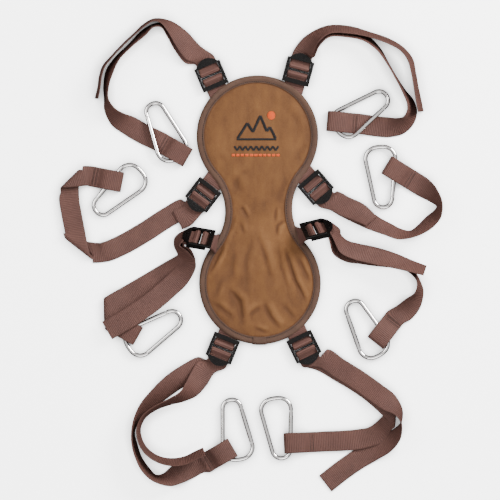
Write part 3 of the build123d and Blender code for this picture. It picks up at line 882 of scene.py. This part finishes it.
# ---- floor ---------------------------------------------------------------
floor_mesh = bpy.data.meshes.new("floor")
floor_mesh.from_pydata([(-3, -3, 0), (3, -3, 0), (3, 3, 0), (-3, 3, 0)], [], [(0, 1, 2, 3)])
floor = add_object("floor", floor_mesh)
FLOOR = Paint("floor_paper", 0.9, Specular_IOR_Level=0.0, Emission_Color=(1, 1, 1, 1))
FLOOR.colour(FLOOR.ramp(FLOOR.noise(3, 2), [(0.0, (0.86, 0.86, 0.86)), (1.0, (0.9, 0.9, 0.9))]))
# The paper glows so that it reads as white; ambient occlusion dims the glow near the object, a painted
# contact shadow.
PAPER_GLOW = 3.2
SHADE_REACH = 0.014
SHADE_POWER = 2.2
open_sky = FLOOR.node("ShaderNodeAmbientOcclusion")
open_sky.inputs["Distance"].default_value = SHADE_REACH
glow = FLOOR.calc("MULTIPLY", FLOOR.calc("POWER", open_sky.outputs["AO"], SHADE_POWER), PAPER_GLOW)
FLOOR.join(glow, FLOOR.shader.inputs["Emission Strength"])
dress(floor, FLOOR.material)
floor.visible_diffuse = False
floor.visible_glossy = False

# ---- padded panel --------------------------------------------------------
PAD_INSET = 1.4
PAD_LOW, PAD_HIGH = 1.15, 4.1
GRIP_INSET = 8.6
EDGE_STEP = 2.5
CREASES = [
    ([(33, -50), (44, -86), (57, -112)], 1.2, 2.4),
    ([(49, -60), (62, -88)], 0.72, 2.3),
    ([(-42, -39), (-51, -58), (-61, -78)], 1.04, 2.4),
    ([(-22, 4), (-14, -9)], 0.72, 2.0),
    ([(-23, -15), (-19, -29)], 0.56, 2.2),
    ([(21, 2), (20, -14)], 0.64, 2.0),
    ([(33, -13), (23, -20), (22, -31)], 0.8, 2.0),
    ([(-2, -30), (9, -62), (16, -88)], 0.64, 3.6),
    ([(-36, -100), (-24, -113), (-21, -137)], 1.04, 3.2),
    ([(6, -114), (14, -132), (27, -147)], 0.88, 3.2),
    ([(-13, -131), (2, -120)], 0.72, 2.9),
    ([(-54, -116), (-32, -134)], 0.64, 2.9),
    ([(-34, 44), (-19, 18)], 0.4, 4.3),
    ([(38, 40), (24, 14)], 0.32, 4.3),
    ([(-30, -52), (-34, -84)], 0.4, 3.6),
    ([(-58, 118), (-48, 140), (-26, 154)], 0.28, 3.6),
    ([(46, 60), (60, 84)], 0.28, 4.3),
    ([(-29, -8), (-36, -26), (-47, -46)], 0.48, 1.7),
    ([(-8, -34), (-16, -66), (-14, -90)], 0.36, 2.9),
    ([(24, -40), (27, -70), (36, -98)], 0.4, 2.2),
    ([(38, -22), (45, -42)], 0.48, 1.6),
    ([(-46, -86), (-54, -108)], 0.4, 2.5),
    ([(30, -118), (44, -134)], 0.4, 2.5),
    ([(-6, -146), (12, -152)], 0.48, 2.2),
    ([(-30, 30), (-22, 44), (-8, 50)], 0.24, 3.6),
    ([(30, 128), (44, 116), (52, 98)], 0.24, 3.6),
    ([(-52, 70), (-40, 60)], 0.24, 3.6),
]
edge_points, _ = hourglass(EDGE_STEP)
edge_xy = np.array([p[0] for p in edge_points])
edge_out = np.array([p[1] for p in edge_points])


def inset_of(spots):
    """How far each place lies inside the panel's edge, in mm."""
    found = np.empty(len(spots))
    for k in range(0, len(spots), 2000):
        gap = spots[k : k + 2000, None, :] - edge_xy[None]
        near = np.argmin((gap**2).sum(-1), axis=1)
        rows = np.arange(len(near))
        found[k : k + 2000] = -(gap[rows, near] * edge_out[near]).sum(-1)
    return found


def crease_depth(spots):
    """Depth of the soft creases at each place, with a low ridge along one side."""
    total = np.zeros(len(spots))
    for line, depth, width in CREASES:
        best = np.full(len(spots), 1e9)
        signed = np.zeros(len(spots))
        share = np.zeros(len(spots))
        pieces = len(line) - 1
        for k in range(pieces):
            a, b = np.array(line[k], float), np.array(line[k + 1], float)
            along = b - a
            size = float(along @ along)
            t = np.clip(((spots - a) @ along) / size, 0, 1)
            gap = spots - (a + t[:, None] * along)
            away = np.hypot(gap[:, 0], gap[:, 1])
            side = np.sign(along[0] * gap[:, 1] - along[1] * gap[:, 0])
            closer = away < best
            best = np.where(closer, away, best)
            signed = np.where(closer, away * side, signed)
            share = np.where(closer, (k + t) / pieces, share)
        fade = np.clip(np.sin(math.pi * np.clip(share, 0.02, 0.98)), 0, 1) ** 0.6
        valley = np.exp(-((signed / width) ** 2))
        ridge = np.exp(-(((signed - 2.1 * width) / (1.3 * width)) ** 2))
        total += fade * depth * (1.7 * valley - 1.1 * ridge)
    return total


def prism(name, inset, low, high):
    """Closed hourglass slab as a mesh in metres."""
    rim = edge_xy - edge_out * inset
    count = len(rim)
    verts = [(x * MM, y * MM, low * MM) for x, y in rim] + [(x * MM, y * MM, high * MM) for x, y in rim]
    faces = [(k, (k + 1) % count, count + (k + 1) % count, count + k) for k in range(count)]
    faces += [tuple(range(count))[::-1], tuple(range(count, 2 * count))]
    mesh = bpy.data.meshes.new(name)
    mesh.from_pydata(verts, [], faces)
    mesh.update()
    return add_object(name, mesh)


def apply_all(obj):
    """Turns an object with modifiers into plain mesh."""
    depsgraph = bpy.context.evaluated_depsgraph_get()
    mesh = bpy.data.meshes.new_from_object(obj.evaluated_get(depsgraph))
    obj.modifiers.clear()
    obj.data = mesh


def coords(obj):
    flat = np.empty(len(obj.data.vertices) * 3)
    obj.data.vertices.foreach_get("co", flat)
    return flat.reshape(-1, 3)


def set_coords(obj, places):
    obj.data.vertices.foreach_set("co", np.ascontiguousarray(places, dtype=float).ravel())
    obj.data.update()


VOXEL = 0.0028
CLOTH_FRAMES = 20
MOST_SHIFT = 1.6  # how far the cloth may carry a point, in mm
SHIFT_KEPT = 0.6
PUFF_REACH = 9  # how far inside the binding the pad is full, in mm
PUFF_TOP = 1.5
PUFF_BELOW = -0.5
PAD_LOWEST = 0.0004  # the underside stays just above the ground, in metres

panel_pad = prism("panel_pad", PAD_INSET, PAD_LOW, PAD_HIGH)
remesh = panel_pad.modifiers.new("remesh", "REMESH")
remesh.mode = "VOXEL"
remesh.voxel_size = VOXEL
apply_all(panel_pad)
places = coords(panel_pad)
rest = places.copy()
inset = inset_of(places[:, :2] / MM)
group = panel_pad.vertex_groups.new(name="held")
for index in np.nonzero(inset < GRIP_INSET)[0]:
    group.add([int(index)], 1.0, "REPLACE")
cloth = panel_pad.modifiers.new("cloth", "CLOTH")
cloth.settings.vertex_group_mass = "held"
cloth.settings.pin_stiffness = 1.0
cloth.settings.use_pressure = True
cloth.settings.uniform_pressure_force = 4.0
cloth.settings.tension_stiffness = 20
cloth.settings.compression_stiffness = 20
cloth.settings.bending_stiffness = 1.0
cloth.settings.effector_weights.gravity = 0
cloth.point_cache.frame_start = 1
cloth.point_cache.frame_end = CLOTH_FRAMES
for number in range(1, CLOTH_FRAMES + 1):
    bpy.context.scene.frame_set(number)
apply_all(panel_pad)
bpy.context.scene.frame_set(1)
places = coords(panel_pad)
shift = np.clip((places - rest) / MM, -MOST_SHIFT, MOST_SHIFT)
puff = 1 - np.exp(-np.clip(inset - GRIP_INSET, 0, None) / PUFF_REACH)
upper = rest[:, 2] > (PAD_LOW + PAD_HIGH) / 2 * MM
fullness = np.where(upper, PUFF_TOP, PUFF_BELOW) * puff
places = rest + shift * MM * SHIFT_KEPT
places[:, 2] += fullness * MM
places[:, 2] = np.maximum(places[:, 2], PAD_LOWEST)
set_coords(panel_pad, places)
# direction in radians, pitch and height in mm, phase
RIPPLES = [(0.4, 31, 0.22, 0.3), (1.9, 23, 0.18, 1.1), (2.7, 41, 0.25, 2.0), (1.2, 14, 0.07, 0.7)]
finer = panel_pad.modifiers.new("finer", "SUBSURF")
finer.levels = 1
apply_all(panel_pad)
places = coords(panel_pad)
spots = places[:, :2] / MM
inset = inset_of(spots)
free = np.clip((inset - GRIP_INSET) / 5, 0, 1)
over = np.clip((places[:, 2] / MM - 2.6) / 1.0, 0, 1)
ripple = np.zeros(len(spots))
for turn, pitch, height, phase in RIPPLES:
    run = spots[:, 0] * math.cos(turn) + spots[:, 1] * math.sin(turn)
    cross = spots[:, 1] * math.cos(turn) - spots[:, 0] * math.sin(turn)
    ripple += height * np.sin(2 * math.pi * run / pitch + phase + 1.3 * np.sin(cross / 27 + phase))
quiet = np.where(spots[:, 1] > 20, 0.45, 1.0)
# small gathers that die out a few millimetres inside the binding
wave = np.sin(2 * math.pi * (spots[:, 0] * 0.7 + spots[:, 1]) / 11.0 + np.sin(spots[:, 0] / 9))
gather = 0.28 * wave * np.exp(-np.clip(inset - GRIP_INSET, 0, None) / 4.5)
depth = crease_depth(spots)
places[:, 2] += (ripple * quiet + gather - depth) * free * over * MM
places[:, 2] = np.maximum(places[:, 2], PAD_LOWEST)
set_coords(panel_pad, places)
# painted shade for the canvas colour: darker along the crease valleys and in a band just inside the binding
shadow = np.clip(depth, -0.5, 2.0) * free + 0.9 * np.exp(-(((inset - GRIP_INSET) / 1.6) ** 2))
marks = panel_pad.data.attributes.new("crease_and_edge_shade", "FLOAT", "POINT")
marks.data.foreach_set("value", shadow * over)
panel_pad.data.shade_smooth()
dress(panel_pad, CANVAS)
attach(panel_pad, "panel")
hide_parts("front_cover", "foam_pad", "back_cover")

pad_tree = BVHTree.FromObject(panel_pad, bpy.context.evaluated_depsgraph_get())


def pad_height(x, y):
    """Height of the pad's top at a place, in mm."""
    hit = pad_tree.ray_cast(Vector((x * MM, y * MM, 0.05)), Vector((0, 0, -1)))[0]
    return hit.z / MM if hit else 5.0


# ---- binding -------------------------------------------------------------
TAPE_PROFILE = [
    (8.9, 4.2),
    (9.15, 4.7),
    (8.8, 5.2),
    (8.2, 5.15),
    (7.3, 4.75),
    (6.4, 5.2),
    (5.0, 5.6),
    (3.2, 5.7),
    (1.6, 5.4),
    (0.35, 4.4),
    (-0.05, 2.9),
    (0.35, 1.2),
    (1.5, 0.25),
    (3.4, 0.05),
    (8.9, 0.05),
    (9.1, 0.5),
    (8.8, 1.0),
    (3.2, 1.05),
    (1.6, 1.3),
    (1.1, 2.8),
    (1.7, 4.2),
    (3.4, 4.6),
    (6.2, 4.2),
    (7.3, 3.85),
]
binding_tape, tape_length = edge_strip("binding_tape", TAPE_PROFILE)
dress(binding_tape, TAPE)
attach(binding_tape, "panel")
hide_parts("edge_binding")

# The tape's end laps over its start at the bottom of the panel.
OVERLAP_PROFILE = [
    (9.0, 5.2),
    (6.2, 5.75),
    (3.2, 5.95),
    (1.2, 5.6),
    (-0.3, 4.4),
    (-0.75, 2.9),
    (-0.3, 1.2),
    (0.1, 1.2),
    (-0.1, 2.9),
    (0.4, 4.3),
    (1.6, 5.2),
    (3.3, 5.5),
    (6.2, 5.35),
    (8.8, 5.0),
]
OVERLAP_FROM = -9
OVERLAP_TO = 13
bottom_runs = [run for (x, y), _, run in edge_points if y < -150 and OVERLAP_FROM < x < OVERLAP_TO]
overlap, _ = edge_strip("binding_overlap", OVERLAP_PROFILE, min(bottom_runs), max(bottom_runs))
dress(overlap, TAPE)
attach(overlap, "panel")


STITCH_INSET = 7.3
STITCH_PITCH = 3.0
STITCH_LENGTH = 2.1
STITCH_HEIGHT = 5.05


def tape_stitches():
    """Stitches in a row round the binding."""
    found = []
    for (x, y), (nx, ny), _ in hourglass(STITCH_PITCH)[0]:
        tx, ty = -ny, nx
        x, y = x - nx * STITCH_INSET, y - ny * STITCH_INSET
        a = (x - tx * STITCH_LENGTH / 2, y - ty * STITCH_LENGTH / 2, STITCH_HEIGHT)
        b = (x + tx * STITCH_LENGTH / 2, y + ty * STITCH_LENGTH / 2, STITCH_HEIGHT)
        found.append((a, b, 0.12))
    return found


seam_thread = thread_mesh("binding_stitching", tape_stitches(), 0.42)
dress(seam_thread, BROWN_THREAD)
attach(seam_thread, "panel")

# ---- embroidered badge: three peaks and a sun, a zigzag and a dashed line ----
SATIN_PITCH = 0.42
SATIN_LIFT = 0.35
BADGE_THREAD = 0.24  # radius
ON_CLOTH = 0.05


def on_pad(x, y):
    return (x, y, pad_height(x, y) + ON_CLOTH)


def satin(points, width):
    """Side by side threads across a line, as in satin stitch."""
    found = []
    for (ax, ay), (bx, by) in zip(points, points[1:]):
        length = math.hypot(bx - ax, by - ay)
        ux, uy = (bx - ax) / length, (by - ay) / length
        for k in range(max(2, int(length / SATIN_PITCH))):
            x, y = ax + ux * (k + 0.5) * SATIN_PITCH, ay + uy * (k + 0.5) * SATIN_PITCH
            half = width / 2 + random.uniform(-0.08, 0.08)
            a = (x - uy * half, y + ux * half)
            b = (x + uy * half, y - ux * half)
            found.append((on_pad(*a), on_pad(*b), SATIN_LIFT))
    return found


def disc(cx, cy, radius):
    """Threads side by side that fill a disc."""
    found = []
    for k in range(int(2 * radius / SATIN_PITCH)):
        y = -radius + (k + 0.5) * SATIN_PITCH
        half = math.sqrt(max(radius**2 - y**2, 0)) + random.uniform(-0.1, 0.1)
        found.append((on_pad(cx - half, cy + y), on_pad(cx + half, cy + y), SATIN_LIFT))
    return found


PEAKS = [(-26, 88), (-14, 107), (-7, 96), (2, 116), (10, 97), (14, 102), (21, 88)]
black_stitches = satin(PEAKS, 3.6) + satin([(-27, 87), (22, 87)], 2.8)
zigzag = [(-30 + 3.4 * k, 73.2 if k % 2 else 78.6) for k in range(17)]
black_stitches += satin(zigzag, 2.6)
badge_black = thread_mesh("badge_black", black_stitches, BADGE_THREAD)
dress(badge_black, BLACK_THREAD)
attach(badge_black, "panel")
orange_stitches = disc(15.5, 116.5, 5.2)
for k in range(11):
    start = -33 + 5.5 * k
    orange_stitches += satin([(start, 67.4), (start + 4.2, 67.4)], 3.2)
badge_orange = thread_mesh("badge_orange", orange_stitches, BADGE_THREAD)
dress(badge_orange, ORANGE_THREAD)
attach(badge_orange, "panel")

# ---- legs ----------------------------------------------------------------
TACK_ROWS = (32.6, 36.2)  # how far inboard of the loop's tip
TACK_PITCH = 0.94
TACK_COUNT = 22
TACK_LEAN = 0.7
TACK_HEIGHT = LOW_LAYER + WEBBING_THICKNESS + SEWN_GAP + HALF_THICKNESS - 0.06
TACK_THREAD = 0.17


def tack_stitches(x, y, heading):
    """Two zigzag rows across the webbing that close the carabiner's loop."""
    outward = spin(heading)
    side = Vector((-outward.y, outward.x, 0))
    tip = Vector((x, y, TACK_HEIGHT))
    found = []
    for inboard in TACK_ROWS:
        for k in range(TACK_COUNT):
            v = -9.9 + TACK_PITCH * k
            lean = TACK_LEAN if k % 2 else -TACK_LEAN
            a = tip - outward * (inboard - lean) + side * v
            b = tip - outward * (inboard + lean) + side * (v + TACK_PITCH)
            found.append((tuple(a), tuple(b), 0.08))
    return found


for place, leg in LEGS.items():
    buckle = Buckle(*leg["buckle"])
    loop = loop_sections(*leg["loop"])
    main = soft_sections(leg["main"])[::-1]
    tail = soft_sections(leg["tail"])
    strap, length = ribbon(f"webbing_{place}", aligned(loop + main + thread_sections(buckle) + tail))
    dress(strap, WEBBING)
    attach(strap, f"leg_{place}")
    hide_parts(f"strap_{place}")

    anchor = aligned(anchor_sections(buckle, *leg["seam"]))
    short, length = ribbon(f"anchor_webbing_{place}", anchor, 1.2)
    dress(short, WEBBING)
    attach(short, "panel")
    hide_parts(f"anchor_loop_{place}")

    tack = thread_mesh(f"bar_tack_{place}", tack_stitches(*leg["loop"][:3]), TACK_THREAD)
    dress(tack, BROWN_THREAD)
    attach(tack, f"leg_{place}")

# ---- hard parts keep the CAD shapes --------------------------------------
HARD = {
    "buckle": (PLASTIC, "buckle_plastic"),
    "carabiner": (STEEL, "plated_steel"),
    "gate": (STEEL, "plated_steel"),
    "gate_pins": (STEEL, "plated_steel"),
    "gate_spring": (SPRING, "spring_steel"),
}
WELD_REACH = 0.00001
EDGE_RADIUS = 0.00035  # moulded edges of the ladder locks
for place in LEGS:
    for kind, (material, slot) in HARD.items():
        node = bpy.data.objects[f"{kind}_{place}"]
        dress(node, material)
        if kind == "buckle":
            weld = node.modifiers.new("weld", "WELD")
            weld.merge_threshold = WELD_REACH
            soften = node.modifiers.new("soften", "BEVEL")
            soften.width = EDGE_RADIUS
            soften.segments = 2
            soften.angle_limit = math.radians(35)
